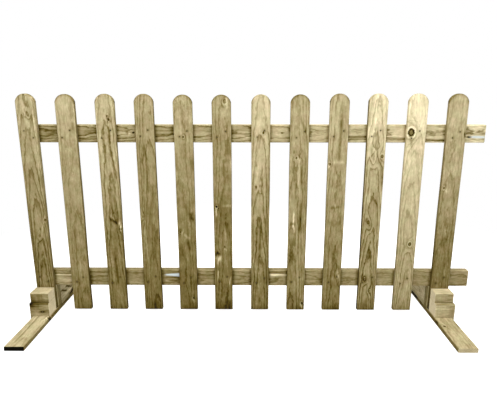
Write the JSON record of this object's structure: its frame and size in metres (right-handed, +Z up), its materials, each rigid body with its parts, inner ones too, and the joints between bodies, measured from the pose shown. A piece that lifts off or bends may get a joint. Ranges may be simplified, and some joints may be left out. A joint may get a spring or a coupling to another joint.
{
  "type": "picket fence panel",
  "caption": "Free-standing low wooden fence panel: spaced round-topped pickets nailed to two level rails, held upright by flat foot boards with blocks across each end.",
  "frame": {"origin": "on the ground, below the middle of the panel's overall box", "axes": "+X along the rails, towards the end where they stick out; +Y towards the back, where the rails are; +Z up"},
  "size_m": [1.845, 0.6, 0.923],
  "materials": {
    "picket_softwood": "planed, pressure-treated, unpainted",
    "rail_softwood": "sawn and lightly planed, pressure-treated, unpainted",
    "foot_softwood": "planed, pressure-treated, unpainted",
    "block_softwood": "sawn, pressure-treated, unpainted",
    "nail_steel": "galvanised, weathered"
  },
  "bodies": {
    "root": {"picket_01": "picket_softwood", "picket_02": "picket_softwood", "picket_03": "picket_softwood", "picket_04": "picket_softwood", "picket_05": "picket_softwood", "picket_06": "picket_softwood", "picket_07": "picket_softwood", "picket_08": "picket_softwood", "picket_09": "picket_softwood", "picket_10": "picket_softwood", "picket_11": "picket_softwood", "picket_12": "picket_softwood", "rail_top": "rail_softwood", "rail_bottom": "rail_softwood", "foot_board_left": "foot_softwood", "foot_board_right": "foot_softwood", "front_block_lower_left": "block_softwood", "front_block_upper_left": "block_softwood", "rear_spacer_left": "block_softwood", "rear_block_left": "block_softwood", "front_block_lower_right": "block_softwood", "front_block_upper_right": "block_softwood", "rear_spacer_right": "block_softwood", "rear_block_right": "block_softwood"}
  },
  "joints": []
}
